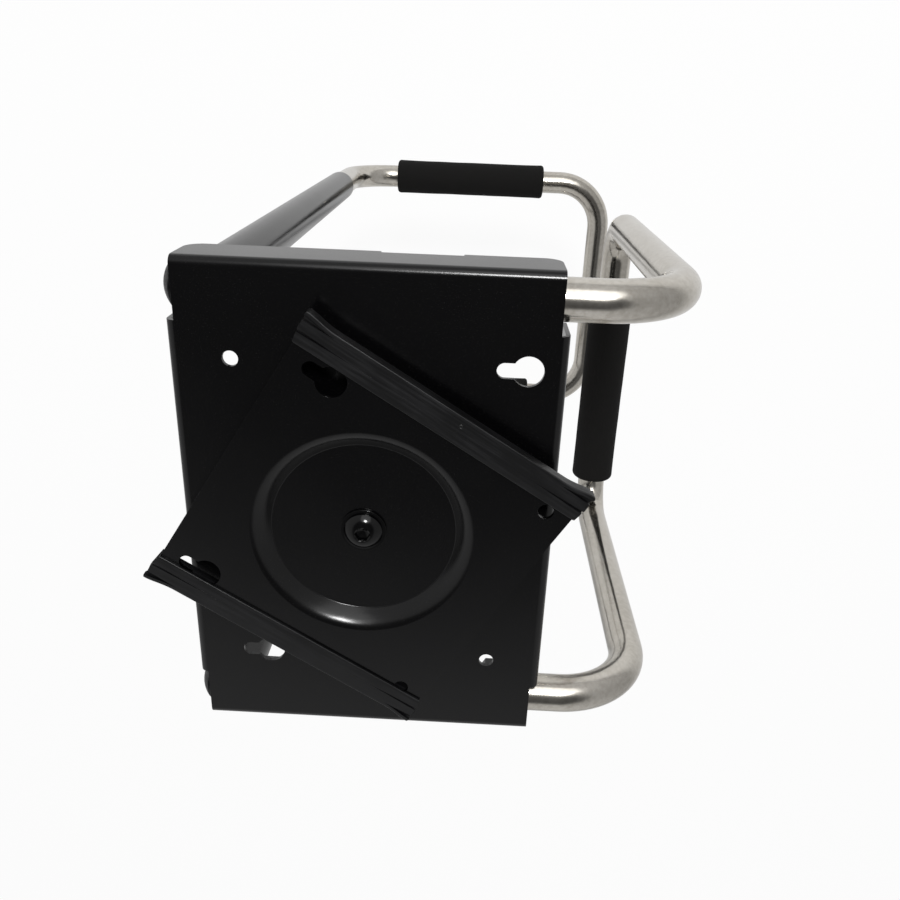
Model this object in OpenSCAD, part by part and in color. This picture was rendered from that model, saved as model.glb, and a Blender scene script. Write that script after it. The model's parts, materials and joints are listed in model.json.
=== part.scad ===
// Computer holder that hangs under a desk: a swivel plate with glides, a pressed tray,
// black arms and legs welded to it, a side loop and a bottom cradle that telescope in them.
// Millimetres. Origin: swivel axis at the top face of the swivel plate. +Z up, +Y rear.

/* [Tray] */
// Width of the tray, left to right
tray_w = 170.5; // [150:0.5:200]
// Length of the tray, front to rear
tray_l = 236; // [212:0.5:260]
// Thickness of the tray sheet
tray_t = 2; // [1.5:0.1:3]
// Inside radius of the tray's bends
tray_bend_r = 2; // [1:0.1:3]
// Distance of the tray's middle from the swivel axis, to the right
tray_x = 1; // [0:0.1:3]
// Distance of the tray's middle from the swivel axis, to the rear
tray_y = 0.8; // [0:0.1:3]
// How far the lips reach below the tubes
lip_cover = 3.4; // [1:0.1:8]
// Corner radius of the front and rear lips
lip_corner_r = 8; // [2:0.5:10]
// Corner radius of the side lips
side_lip_corner_r = 4; // [2:0.5:8]
// Gap between a side lip and the tubes beside it
side_lip_gap = 1.8; // [1:0.1:6]
// Width of the shallow cut in the rear lip
lip_cut_w = 36; // [10:1:60]
// Depth of the shallow cut in the rear lip
lip_cut_d = 2.5; // [1:0.1:3.5]
// Distance of that cut's middle from the centre line
lip_cut_x = 21; // [-30:1:40]
// Distance of the tray's fixing holes from its left and right sides
hole_inset_x = 26.75; // [22:0.25:32]
// Distance of the tray's fixing holes from its front and rear sides
hole_inset_y = 42.8; // [38:0.2:48]

/* [Fixing holes] */
// Radius of the screw holes
screw_hole_r = 3.5; // [2.5:0.1:4]
// Radius of the wide end of a keyhole
keyhole_r = 6.8; // [5:0.1:7.5]
// Distance from the narrow end to the wide end of a keyhole
keyhole_len = 10; // [9:0.5:11]

/* [Tubes] */
// Outside diameter of the chrome tubes
inner_od = 19; // [16:0.5:21]
// Wall of the chrome tubes
inner_wall = 1.2; // [1:0.1:2]
// Wall of the black tubes
outer_wall = 1.5; // [1.2:0.1:2]
// Radial clearance between a chrome tube and its black tube
slide_fit = 0.1; // [0.05:0.01:0.1]
// Distance of the front and rear tubes' axes from the tray's front and rear sides
tube_inset = 14.2; // [13.2:0.1:16]
// Distance of the black legs from the tray's left side
leg_inset = 14.6; // [12:0.2:20]
// Distance of the arms' left ends from the tray's left side
arm_inset = 2.6; // [1:0.2:4]
// Height of the domes on the arms' end caps
cap_dome_h = 4.5; // [1:0.1:6]
// Thickness of the rims of the arms' end caps
cap_rim = 0.5; // [0.5:0.1:2]
// Distance from the tray's top face to the lower end of a black leg
leg_drop = 381.5; // [340:0.5:400]

/* [Side loop] */
// Distance from the black legs to the hanging part of the loop
loop_reach = 209.5; // [204:0.5:240]
// Distance from the arms down to the bottom of the loop
loop_drop = 219.5; // [180:0.5:260]
// Centre line radius of the loop's shoulders
shoulder_r = 41; // [36:1:46]
// Centre line radius of the loop's lower bends
loop_bend_r = 24; // [22:1:45]
// Length of loop leg inside the black tube
loop_insert = 100; // [80:1:102]

/* [Cradle] */
// Distance from the tray's top face to the cradle
cradle_drop = 476; // [460:0.5:520]
// Distance from the black legs to the cradle's end bar
cradle_reach = 229; // [216:0.5:255]
// Centre line radius of the cradle's bends
cradle_bend_r = 39; // [34:1:42]
// Length of cradle leg inside the black leg
cradle_insert = 210; // [150:1:240]

/* [Grips] */
// Outside diameter of the foam grips
grip_od = 29; // [26:0.5:36]
// Length of the foam grips
grip_len = 134; // [100:1:135]
// Radius of the rounded ends of the grips
grip_end_r = 2.5; // [1:0.5:3]
// Clearance between a grip and its tube
grip_fit = 0.15; // [0.05:0.05:0.3]
// Distance of the cradle grips' middle from the black legs
cradle_grip_at = 107; // [106:1:118]
// Distance of the loop grip's middle from the centre, to the front
loop_grip_at = 13; // [-5:1:14]
// Length of the plugs in the hidden tube ends
plug_len = 12; // [8:1:20]
// Thickness of the plugs' rims
plug_rim = 2; // [1:0.5:4]
// Clearance between a plug and its tube
plug_fit = 0.05; // [0.02:0.01:0.1]

/* [Swivel plate] */
// Thickness of the swivel plate
plate_t = 2; // [1.5:0.1:3]
// Length of the swivel plate, along the glides
plate_l = 141; // [130:1:150]
// Width of the swivel plate, across the glides
plate_w = 136; // [132:1:142]
// Corner radius of the swivel plate
plate_corner_r = 4; // [1:0.5:8]
// Radius of the dish at the plate's face
dish_rim_r = 50.5; // [46:0.5:53]
// Radius of the dish's floor
dish_floor_r = 42; // [38:0.5:43]
// Depth of the dish
dish_depth = 6.6; // [6:0.1:9]
// Distance of the plate's middle from the swivel axis, along the glides
plate_x = 0.4; // [0:0.1:3]
// Distance of the plate's middle from the swivel axis, across the glides
plate_y = 0; // [0:0.1:3]
// Distance of the holes from the plate's middle, along the glides
plate_hole_x = 59; // [57:0.5:62]
// Half the spacing of the round holes, across the glides
round_hole_y = 58.7; // [57:0.1:60]
// Half the spacing of the keyholes, across the glides
key_hole_y = 56.2; // [54:0.1:57]
// Distance of the holes' middle from the plate's middle, across the glides
holes_off = 1.5; // [0:0.1:2]
// Angle at which the plate is turned
plate_turn = -32; // [-180:1:180]

/* [Glides] */
// Length of the glides
glide_l = 145; // [135:1:155]
// Width of the glides
glide_w = 14.5; // [12:0.5:18]
// Thickness of the glides
glide_h = 7; // [5.5:0.1:8]
// How far the glides stand above the swivel plate
glide_rise = 1.4; // [1:0.1:2]
// How deep the plate's edges sit in the glides
glide_grip = 7; // [4:0.5:8]
// Clearance between the plate's edge and the glide's groove
groove_fit = 0.1; // [0.05:0.05:0.3]
// Depth of the notches in the glides' ends
notch_d = 7; // [3:0.5:10]
// Width of the notches in the glides' ends
notch_w = 3; // [1.5:0.5:3.5]

/* [Swivel bolt] */
// Radius of the bolt's shank
bolt_r = 5; // [4:0.5:6]
// Running clearance of the bolt in the parts it holds
bolt_fit = 0.1; // [0.05:0.01:0.1]
// Radius of the bolt's head
bolt_head_r = 8.75; // [8:0.25:10]
// Height of the bolt's head
bolt_head_h = 3.8; // [3.4:0.1:5]
// Width across flats of the bolt's socket
bolt_socket = 6; // [5:0.5:8]
// Radius of the washer under the head
head_washer_r = 10.5; // [10:0.5:14]
// Thickness of the steel washers
washer_t = 1.2; // [1:0.1:2.5]
// Running gap at each side of the turning plate
turn_gap = 0.05; // [0.02:0.01:0.1]
// Radius of the nylon turntable disc
disc_r = 38; // [25:1:38]
// Thickness of the nylon turntable disc
disc_t = 4.9; // [2:0.1:6]
// Radius of the nylon washer under the tray
pad_r = 16; // [15:0.5:24]
// Thickness of the nylon washer under the tray
pad_t = 2; // [1:0.1:3]
// Radius of the steel washer under the tray
lower_washer_r = 12.5; // [12:0.5:15]
// Width across flats of the lock nut
nut_flats = 17; // [16:0.5:19]
// Height of the lock nut's hexagon
nut_h = 8; // [6:0.5:10]
// Height of the lock nut's round collar
collar_h = 2.5; // [1:0.5:4]
// Length of the bolt past the lock nut
bolt_tail = 2.5; // [1:0.5:6]

/* [Tube locks] */
// Radius of the set screws
set_r = 4; // [3:0.25:4.5]
// Clearance of a set screw in its weld nut
set_fit = 0.05; // [0.02:0.01:0.1]
// Width across flats of the weld nuts
lock_flats = 13; // [12:0.5:14]
// Height of the weld nuts
lock_h = 6.5; // [5:0.5:9]
// Length of set screw that stands out of its nut
set_out = 3; // [1:0.5:6]
// Width across flats of the set screws' sockets
set_socket = 4; // [3:0.5:5]
// Depth of the sockets
socket_d = 3; // [2:0.5:4]
// Distance of the arm lock from the arm's mouth
arm_lock_at = 18; // [14:1:26]
// Distance of the leg lock from the leg's lower end
leg_lock_at = 22; // [14:1:40]
// Direction in which the leg locks stand out
leg_lock_turn = 216; // [180:1:220]

/* [Welds] */
// Width of the welds at the top of a leg
leg_weld = 1.6; // [0.8:0.1:1.7]
// Distance from the arm's axis down to the upper ends of those welds
leg_weld_end = 5.5; // [5.4:0.1:7]
// Length of the weld beads
weld_l = 26; // [10:1:30]
// Distance between the beads along an arm
weld_pitch = 100; // [40:1:110]
// Distance of a bead's near side from the top of its tube
weld_in = 4.5; // [3:0.5:6]
// Distance of a bead's far side from the top of its tube
weld_out = 7.5; // [7:0.5:9]

/* [Hidden] */
$fn = 96;
eps = 0.01;

// tubes
inner_r = inner_od / 2;
bore_r = inner_r + slide_fit;
outer_r = bore_r + outer_wall;
arm_y = tray_l / 2 - tube_inset;

// heights, from the top face of the swivel plate down
floor_top = -dish_depth;
floor_low = floor_top - plate_t;
disc_top = floor_low - turn_gap;
tray_top = disc_top - disc_t;
tray_low = tray_top - tray_t;
arm_z = tray_low - outer_r;
lip_low = arm_z - outer_r - lip_cover;
leg_end = tray_top - leg_drop;
loop_z = arm_z - loop_drop;
cradle_z = tray_top - cradle_drop;
head_seat = floor_top + turn_gap + washer_t;
nut_top = tray_low - pad_t - washer_t;
bolt_end = nut_top - nut_h - collar_h - bolt_tail;

// places along X
leg_x = leg_inset - tray_w / 2;
arm_left = arm_inset - tray_w / 2;
loop_x = leg_x + loop_reach;
cradle_x = leg_x + cradle_reach;
leg_lock_z = leg_end + leg_lock_at;

// tray
fold_r = tray_bend_r + tray_t;
flat_x = tray_w / 2 - fold_r;
mouth_x = flat_x;
arm_lock_x = mouth_x - arm_lock_at;
flat_y = tray_l / 2 - fold_r;
side_lip_half = arm_y - outer_r - side_lip_gap;
lip_h = tray_top - lip_low - fold_r;
tray_hole_x = tray_w / 2 - hole_inset_x;
tray_hole_y = tray_l / 2 - hole_inset_y;

// glides
hole_r = bolt_r + bolt_fit;
glide_soft_r = 0.9 * glide_rise;
cope_fit = 0.02;
black = [0.09, 0.09, 0.1];
plastic = [0.11, 0.11, 0.12];
bead = [0.16, 0.16, 0.17];
steel = [0.75, 0.75, 0.73];
nylon = [0.88, 0.87, 0.82];

// radius of the sphere whose slice of height h is 2 * r wide
function cap_radius(r, h) = (r * r + h * h) / (2 * h);

module hexagon(flats, h) cylinder(r = flats / sqrt(3), h = h, $fn = 6);

module ring(r_out, r_in, h) difference() {
    cylinder(r = r_out, h = h);
    translate([0, 0, -eps]) cylinder(r = r_in, h = h + 2 * eps);
}

// a quarter of a torus, from +X to +Y
module quarter(bend, r) rotate_extrude(angle = 90) translate([bend, 0]) circle(r = r);

// the same on the +Y side, and from -Y to +X on the -Y side
module end_quarter(side, bend, r) rotate([0, 0, side > 0 ? 0 : -90]) quarter(bend, r);

module rounded_square(l, w, r) {
    square([l - 2 * r, w], center = true);
    square([l, w - 2 * r], center = true);
    for (sx = [-1, 1], sy = [-1, 1]) translate([sx * (l / 2 - r), sy * (w / 2 - r)]) circle(r = r);
}

// keyhole outline: the narrow end is at the origin and the wide end lies towards +X
module keyhole() {
    circle(r = screw_hole_r);
    translate([0, -screw_hole_r]) square([keyhole_len, 2 * screw_hole_r]);
    translate([keyhole_len, 0]) circle(r = keyhole_r);
}

// round holes at the rear left and front right, keyholes at the other two corners
module tray_holes() for (s = [-1, 1]) {
    translate([s * tray_hole_x, -s * tray_hole_y]) circle(r = screw_hole_r);
    translate([s * tray_hole_x, s * tray_hole_y]) keyhole();
}

// what belongs to the tray is drawn about the tray's middle
module on_tray() translate([tray_x, tray_y, 0]) children();

// ---- swivel plate and glides ----
// the dish leaves the face softly and meets its floor at a crisp edge
function dish_curve(shift, steps = 14) = [for (i = [0:steps]) let (t = i / steps)
    [dish_rim_r - (dish_rim_r - dish_floor_r) * t, shift - dish_depth * (1 - cos(90 * t))]];
function backwards(list) = [for (i = [len(list) - 1:-1:0]) list[i]];

module dish() rotate_extrude() difference() {
    polygon(concat([[0, floor_low]], backwards(dish_curve(-plate_t)), dish_curve(0), [[0, floor_top]]));
    translate([0, floor_low - eps]) square([hole_r, plate_t + 2 * eps]);
}

module plate_holes() for (s = [-1, 1]) {
    translate([plate_hole_x, s * round_hole_y - holes_off]) circle(r = screw_hole_r);
    translate([-plate_hole_x, s * key_hole_y - holes_off]) keyhole();
}

module swivel_plate() color(black) rotate([0, 0, plate_turn]) {
    dish();
    translate([0, 0, -plate_t]) linear_extrude(plate_t) difference() {
        translate([plate_x, -plate_y]) difference() {
            rounded_square(plate_l, plate_w, plate_corner_r);
            plate_holes();
        }
        circle(r = dish_rim_r);
    }
}

// half cross-section: a strip with rounded upper edges and a groove for the plate's edge
module glide_profile() {
    difference() {
        union() {
            translate([0, glide_rise - glide_h]) square([glide_w, glide_h - glide_soft_r]);
            translate([glide_soft_r, 0]) square([glide_w - 2 * glide_soft_r, glide_rise]);
            for (x = [glide_soft_r, glide_w - glide_soft_r])
                translate([x, glide_rise - glide_soft_r]) circle(r = glide_soft_r);
        }
        translate([-eps, -plate_t - groove_fit])
            square([glide_grip + groove_fit + eps, plate_t + 2 * groove_fit]);
    }
}

module glide_notches() for (s = [-1, 1], k = [1, 2])
    translate([s * glide_l / 2, plate_w / 2 - glide_grip + k * glide_w / 3])
        linear_extrude(4 * glide_h, center = true)
            polygon([[s * eps, -notch_w / 2], [s * eps, notch_w / 2], [-s * notch_d, 0]]);

module glide() color(plastic) difference() {
    translate([-glide_l / 2, plate_w / 2 - glide_grip, 0])
        rotate([90, 0, 90]) linear_extrude(glide_l) glide_profile();
    glide_notches();
}
module on_plate() rotate([0, 0, plate_turn]) translate([plate_x, -plate_y, 0]) children();
module rear_glide() on_plate() glide();
module front_glide() on_plate() mirror([0, 1, 0]) glide();

// ---- swivel bolt and its stack ----
// the head is a dome: a slice of a sphere on a short rim
head_rim_share = 0.3;
rim_h = bolt_head_h * head_rim_share;
dome_h = bolt_head_h - rim_h;
dome_r = cap_radius(bolt_head_r, dome_h);

module swivel_bolt() color(black) difference() {
    union() {
        translate([0, 0, bolt_end]) cylinder(r = bolt_r, h = head_seat - bolt_end + eps);
        translate([0, 0, head_seat]) cylinder(r = bolt_head_r, h = rim_h + eps);
        translate([0, 0, head_seat + rim_h]) intersection() {
            translate([0, 0, dome_h - dome_r]) sphere(r = dome_r);
            cylinder(r = bolt_head_r, h = dome_h);
        }
    }
    translate([0, 0, head_seat + bolt_head_h - socket_d]) hexagon(bolt_socket, socket_d + eps);
}

module head_washer() color(steel)
    translate([0, 0, floor_top + turn_gap]) ring(head_washer_r, hole_r, washer_t);
module turntable_disc() color(nylon) translate([0, 0, tray_top]) ring(disc_r, hole_r, disc_t);
module nylon_washer() color(nylon) translate([0, 0, tray_low - pad_t]) ring(pad_r, hole_r, pad_t);
module steel_washer() color(steel) translate([0, 0, nut_top]) ring(lower_washer_r, hole_r, washer_t);

collar_inset = 1;
module lock_nut() color(steel) translate([0, 0, nut_top - nut_h - collar_h]) difference() {
    union() {
        translate([0, 0, collar_h]) hexagon(nut_flats, nut_h);
        cylinder(r = nut_flats / 2 - collar_inset, h = collar_h + eps);
    }
    translate([0, 0, -eps]) cylinder(r = bolt_r + set_fit, h = nut_h + collar_h + 2 * eps);
}

// ---- tray ----
module lip_outline(half, h, r) {
    translate([-half, r - h]) square([2 * half, h - r]);
    translate([r - half, -h]) square([2 * (half - r), r + eps]);
    for (s = [-1, 1]) translate([s * (half - r), r - h]) circle(r = r);
}

// a fold and its lip for the +Y edge, with the sheet's flat part ending at y = edge
module folded_lip(half, edge, r) translate([0, edge, tray_top - fold_r]) {
    rotate([90, 0, 90]) translate([0, 0, -half]) intersection() {
        ring(fold_r, tray_bend_r, 2 * half);
        cube([fold_r + eps, fold_r + eps, 2 * half]);
    }
    translate([0, fold_r, 0]) rotate([90, 0, 0]) linear_extrude(tray_t) lip_outline(half, lip_h, r);
}

module tray() color(black) on_tray() difference() {
    union() {
        translate([0, 0, tray_low]) linear_extrude(tray_t)
            square([2 * flat_x, 2 * flat_y], center = true);
        for (a = [0, 180]) rotate([0, 0, a]) folded_lip(flat_x, flat_y, lip_corner_r);
        for (a = [90, -90]) rotate([0, 0, a]) folded_lip(side_lip_half, flat_x, side_lip_corner_r);
    }
    translate([0, 0, tray_low - eps]) linear_extrude(tray_t + 2 * eps) {
        translate([-tray_x, -tray_y]) circle(r = hole_r);
        tray_holes();
    }
    translate([lip_cut_x - lip_cut_w / 2, flat_y, lip_low - eps])
        cube([lip_cut_w, 2 * fold_r, lip_cut_d + eps]);
}

// ---- arms and legs ----
module along_x(x, y, z) translate([x, y, z]) rotate([0, 90, 0]) children();

module arm(y) color(black) on_tray() difference() {
    along_x(arm_left, y, arm_z) cylinder(r = outer_r, h = mouth_x - arm_left);
    along_x(arm_left - eps, y, arm_z) cylinder(r = bore_r, h = mouth_x - arm_left + 2 * eps);
    translate([arm_lock_x, y, arm_z - 2 * outer_r]) cylinder(r = set_r + set_fit, h = 2 * outer_r);
}
module rear_arm() arm(arm_y);
module front_arm() arm(-arm_y);

// the top of a leg is cut to the round of the arm it is welded to
module leg(y) color(black) on_tray() difference() {
    translate([leg_x, y, leg_end]) cylinder(r = outer_r, h = arm_z - leg_end);
    translate([leg_x, y, leg_end - eps]) cylinder(r = bore_r, h = arm_z - leg_end + 2 * eps);
    along_x(leg_x - 2 * outer_r, y, arm_z) cylinder(r = outer_r + cope_fit, h = 4 * outer_r);
    translate([leg_x, y, leg_lock_z]) rotate([0, 0, leg_lock_turn])
        rotate([0, 90, 0]) cylinder(r = set_r + set_fit, h = 2 * outer_r);
}
module rear_leg() leg(arm_y);
module front_leg() leg(-arm_y);

// a bead follows the joint between an arm and its leg
module leg_weld_bead(y) difference() {
    intersection() {
        along_x(leg_x - 2 * outer_r, y, arm_z) cylinder(r = outer_r + leg_weld, h = 4 * outer_r);
        translate([leg_x, y, arm_z - 2 * outer_r])
            cylinder(r = outer_r + leg_weld, h = 2 * outer_r - leg_weld_end);
    }
    along_x(leg_x - 2 * outer_r, y, arm_z) cylinder(r = outer_r + cope_fit, h = 4 * outer_r);
    translate([leg_x, y, arm_z - 3 * outer_r]) cylinder(r = outer_r, h = 4 * outer_r);
}
module leg_welds() color(bead) on_tray() for (side = [-1, 1]) leg_weld_bead(side * arm_y);

// domed caps close the arms' left ends
module arm_end_cap(y) {
    along_x(arm_left - cap_rim, y, arm_z) cylinder(r = outer_r, h = cap_rim);
    along_x(arm_left - eps, y, arm_z) cylinder(r = bore_r - plug_fit, h = plug_len + eps);
    intersection() {
        translate([arm_left - cap_rim - cap_dome_h + cap_radius(outer_r, cap_dome_h), y, arm_z])
            sphere(r = cap_radius(outer_r, cap_dome_h));
        along_x(arm_left - cap_rim - cap_dome_h, y, arm_z) cylinder(r = outer_r, h = cap_dome_h);
    }
}
module arm_end_caps() color(plastic) on_tray() for (side = [-1, 1]) arm_end_cap(side * arm_y);

// welds sit in the wedge between the tray and the top of each arm
module weld_beads() color(bead) on_tray()
    for (side = [-1, 1], hand = [-1, 1], k = [-1, 1])
        translate([(k * weld_pitch - weld_l) / 2, side * arm_y, arm_z])
            rotate([90, 0, 90]) linear_extrude(weld_l) difference() {
                translate([hand > 0 ? weld_in : -weld_out, outer_r / 2])
                    square([weld_out - weld_in, outer_r / 2]);
                circle(r = outer_r);
            }

// a weld nut on a tube whose axis is Z, standing out along +X
module lock_boss() difference() {
    rotate([0, 90, 0]) hexagon(lock_flats, outer_r + lock_h);
    cylinder(r = outer_r, h = 4 * outer_r, center = true);
    rotate([0, 90, 0]) cylinder(r = set_r + set_fit, h = 2 * outer_r + lock_h);
}

// the set screw's tip stops just short of the chrome tube, and its outer end has the socket
module lock_screw() rotate([0, 90, 0]) difference() {
    translate([0, 0, bore_r]) cylinder(r = set_r, h = outer_r + lock_h + set_out - bore_r);
    translate([0, 0, outer_r + lock_h + set_out - socket_d]) hexagon(set_socket, socket_d + eps);
}

module at_arm_locks() on_tray() for (side = [-1, 1]) along_x(arm_lock_x, side * arm_y, arm_z) children();
module at_leg_locks() on_tray()
    for (side = [-1, 1])
        translate([leg_x, side * arm_y, leg_lock_z]) rotate([0, 0, leg_lock_turn]) children();

module arm_weld_nuts() color(steel) at_arm_locks() lock_boss();
module arm_set_screws() color(black) at_arm_locks() lock_screw();
module leg_weld_nuts() color(steel) at_leg_locks() lock_boss();
module leg_set_screws() color(black) at_leg_locks() lock_screw();

// ---- side loop ----
loop_in_x = mouth_x - loop_insert;
loop_top_z = arm_z - shoulder_r;
loop_low_z = loop_z + loop_bend_r;
loop_end_y = arm_y - loop_bend_r;

module loop_path(r, over) {
    for (side = [-1, 1]) {
        along_x(loop_in_x - over, side * arm_y, arm_z)
            cylinder(r = r, h = loop_x - shoulder_r - loop_in_x + over);
        translate([loop_x - shoulder_r, side * arm_y, loop_top_z]) rotate([90, 0, 0]) quarter(shoulder_r, r);
        translate([loop_x, side * arm_y, loop_low_z]) cylinder(r = r, h = loop_top_z - loop_low_z);
        translate([loop_x, side * loop_end_y, loop_low_z])
            rotate([0, 90, 0]) end_quarter(side, loop_bend_r, r);
    }
    translate([loop_x, -loop_end_y, loop_z]) rotate([-90, 0, 0]) cylinder(r = r, h = 2 * loop_end_y);
}

module side_loop() color(steel) on_tray() difference() {
    loop_path(inner_r, 0);
    loop_path(inner_r - inner_wall, eps);
}

// a plug along +X whose rim closes a tube end at the origin
module end_plug() {
    translate([-plug_rim, 0, 0]) rotate([0, 90, 0]) cylinder(r = inner_r, h = plug_rim);
    translate([-eps, 0, 0]) rotate([0, 90, 0])
        cylinder(r = inner_r - inner_wall - plug_fit, h = plug_len + eps);
}

module loop_end_plugs() color(plastic) on_tray()
    for (side = [-1, 1]) translate([loop_in_x, side * arm_y, arm_z]) end_plug();

// ---- cradle ----
cradle_in_z = leg_end + cradle_insert;
cradle_low_z = cradle_z + cradle_bend_r;
bar_end_x = cradle_x - cradle_bend_r;
bar_end_y = arm_y - cradle_bend_r;

module cradle_path(r, over) {
    for (side = [-1, 1]) {
        translate([leg_x, side * arm_y, cradle_low_z]) cylinder(r = r, h = cradle_in_z - cradle_low_z + over);
        translate([leg_x + cradle_bend_r, side * arm_y, cradle_low_z])
            rotate([0, 180, 0]) rotate([90, 0, 0]) quarter(cradle_bend_r, r);
        translate([leg_x + cradle_bend_r, side * arm_y, cradle_z])
            rotate([0, 90, 0]) cylinder(r = r, h = bar_end_x - leg_x - cradle_bend_r);
        translate([bar_end_x, side * bar_end_y, cradle_z]) end_quarter(side, cradle_bend_r, r);
    }
    translate([cradle_x, -bar_end_y, cradle_z]) rotate([-90, 0, 0]) cylinder(r = r, h = 2 * bar_end_y);
}

module cradle() color(steel) on_tray() difference() {
    cradle_path(inner_r, 0);
    cradle_path(inner_r - inner_wall, eps);
}

module cradle_end_plugs() color(plastic) on_tray()
    for (side = [-1, 1]) translate([leg_x, side * arm_y, cradle_in_z]) rotate([0, 90, 0]) end_plug();

// ---- foam grips, along Z from the middle ----
module grip(l) color([0.08, 0.08, 0.08]) rotate_extrude() difference() {
    union() {
        translate([inner_r + grip_fit, grip_end_r - l / 2])
            square([grip_od / 2 - inner_r - grip_fit, l - 2 * grip_end_r]);
        translate([inner_r + grip_fit, -l / 2])
            square([grip_od / 2 - inner_r - grip_fit - grip_end_r, l]);
        for (s = [-1, 1])
            translate([grip_od / 2 - grip_end_r, s * (l / 2 - grip_end_r)]) circle(r = grip_end_r);
    }
    translate([0, -l]) square([inner_r + grip_fit, 2 * l]);
}

// the loop's grip ends where its bar starts to bend
loop_grip_len = min(grip_len, 2 * (loop_end_y - loop_grip_at));
module cradle_grip(y) on_tray() along_x(leg_x + cradle_grip_at, y, cradle_z) grip(grip_len);
module loop_grip() on_tray()
    translate([loop_x, -loop_grip_at, loop_z]) rotate([90, 0, 0]) grip(loop_grip_len);
module rear_cradle_grip() cradle_grip(arm_y);
module front_cradle_grip() cradle_grip(-arm_y);

swivel_plate();
rear_glide();
front_glide();
swivel_bolt();
head_washer();
turntable_disc();
nylon_washer();
steel_washer();
lock_nut();
tray();
weld_beads();
rear_arm();
front_arm();
rear_leg();
front_leg();
leg_welds();
arm_end_caps();
arm_weld_nuts();
arm_set_screws();
leg_weld_nuts();
leg_set_screws();
side_loop();
loop_end_plugs();
loop_grip();
cradle();
cradle_end_plugs();
rear_cradle_grip();
front_cradle_grip();
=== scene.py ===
import json
import math

import bmesh
import bpy
from mathutils import Euler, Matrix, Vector, noise
from mathutils.bvhtree import BVHTree


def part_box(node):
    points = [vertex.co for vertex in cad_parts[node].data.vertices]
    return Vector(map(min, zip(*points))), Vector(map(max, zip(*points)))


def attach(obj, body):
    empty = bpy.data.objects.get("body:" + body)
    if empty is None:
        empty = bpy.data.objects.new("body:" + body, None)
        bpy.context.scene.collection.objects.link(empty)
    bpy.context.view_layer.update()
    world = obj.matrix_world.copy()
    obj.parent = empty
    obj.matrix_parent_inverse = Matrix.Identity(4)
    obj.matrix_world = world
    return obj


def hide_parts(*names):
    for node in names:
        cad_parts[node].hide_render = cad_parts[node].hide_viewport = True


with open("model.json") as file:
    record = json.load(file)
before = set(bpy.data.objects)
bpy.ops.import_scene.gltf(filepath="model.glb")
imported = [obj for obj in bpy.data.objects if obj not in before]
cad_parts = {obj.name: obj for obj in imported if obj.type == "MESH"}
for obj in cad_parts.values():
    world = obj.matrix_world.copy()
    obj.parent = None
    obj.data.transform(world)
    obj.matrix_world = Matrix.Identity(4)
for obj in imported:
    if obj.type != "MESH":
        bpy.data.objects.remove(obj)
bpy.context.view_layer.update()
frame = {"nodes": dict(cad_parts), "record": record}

nodes = frame["nodes"]
print("frame loaded:", len(nodes), "nodes")


# the camera, settled from the image points below
camera = {
    "place": (0.0443, 0.1871, 0.3237),  # metres
    "turn": (-23.738, 2.042, 2.053),  # degrees, XYZ
    "lens": 33.411,
    "sensorWidth": 36.0,
    "shiftX": 0.0,
    "shiftY": 0.0,
    "clip": (0.01, 50),
}

imageSide = 900
imagePoints = {
    "left": 146.5,
    "right": 702.0,
    "top": 160.0,
    "bottom": 727.5,
    "boltHead": (362.5, 529.0),
    "trayHoleRear": (232.3, 360.0),
    "trayHoleFront": (483.0, 658.0),
    "plateHole": (547.0, 510.0),
    "rearGripLeftEnd": (395.5, 176.0),
    "rearGripRightEnd": (543.7, 180.0),
    "loopGripEnd": (592.5, 477.5),
    "rearGlideRightEnd": (594.0, 495.0),
    "glideNick": (461.0, 427.0),
}


def makeCamera():
    lensData = bpy.data.cameras.new("viewCamera")
    lensData.sensor_fit = "AUTO"
    lensData.sensor_width = camera["sensorWidth"]
    lensData.lens = camera["lens"]
    lensData.shift_x, lensData.shift_y = camera["shiftX"], camera["shiftY"]
    lensData.clip_start, lensData.clip_end = camera["clip"]
    holder = bpy.data.objects.new("viewCamera", lensData)
    holder.location = camera["place"]
    holder.rotation_euler = Euler([math.radians(a) for a in camera["turn"]], "XYZ")
    bpy.context.scene.collection.objects.link(holder)
    bpy.context.scene.camera = holder
    return holder


viewCamera = makeCamera()
bpy.context.view_layer.update()


def imagePlace(point):  # where a place in metres shows in the photograph's pixels
    local = viewCamera.matrix_world.inverted() @ Vector(point)
    lensPixels = imageSide * camera["lens"] / camera["sensorWidth"]
    x = local.x / -local.z * lensPixels + imageSide / 2 - camera["shiftX"] * imageSide
    y = imageSide / 2 - local.y / -local.z * lensPixels + camera["shiftY"] * imageSide
    return x, y


def rayThrough(x, y):
    aim = Vector((
        x - imageSide / 2 + camera["shiftX"] * imageSide,
        imageSide / 2 - y + camera["shiftY"] * imageSide,
        -imageSide * camera["lens"] / camera["sensorWidth"],
    ))
    place = viewCamera.matrix_world
    return place.translation.copy(), (place.to_3x3() @ aim).normalized()


def surfaceTree(*objects):
    depsgraph = bpy.context.evaluated_depsgraph_get()
    corners, faces = [], []
    for thing in objects:
        mesh = thing.evaluated_get(depsgraph).to_mesh()
        start = len(corners)
        corners += [thing.matrix_world @ v.co for v in mesh.vertices]
        faces += [[start + i for i in face.vertices] for face in mesh.polygons]
        thing.evaluated_get(depsgraph).to_mesh_clear()
    return BVHTree.FromPolygons(corners, faces)


raySearch = {"start": 0.1, "step": 0.005, "count": 240}  # metres along a ray that misses


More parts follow.
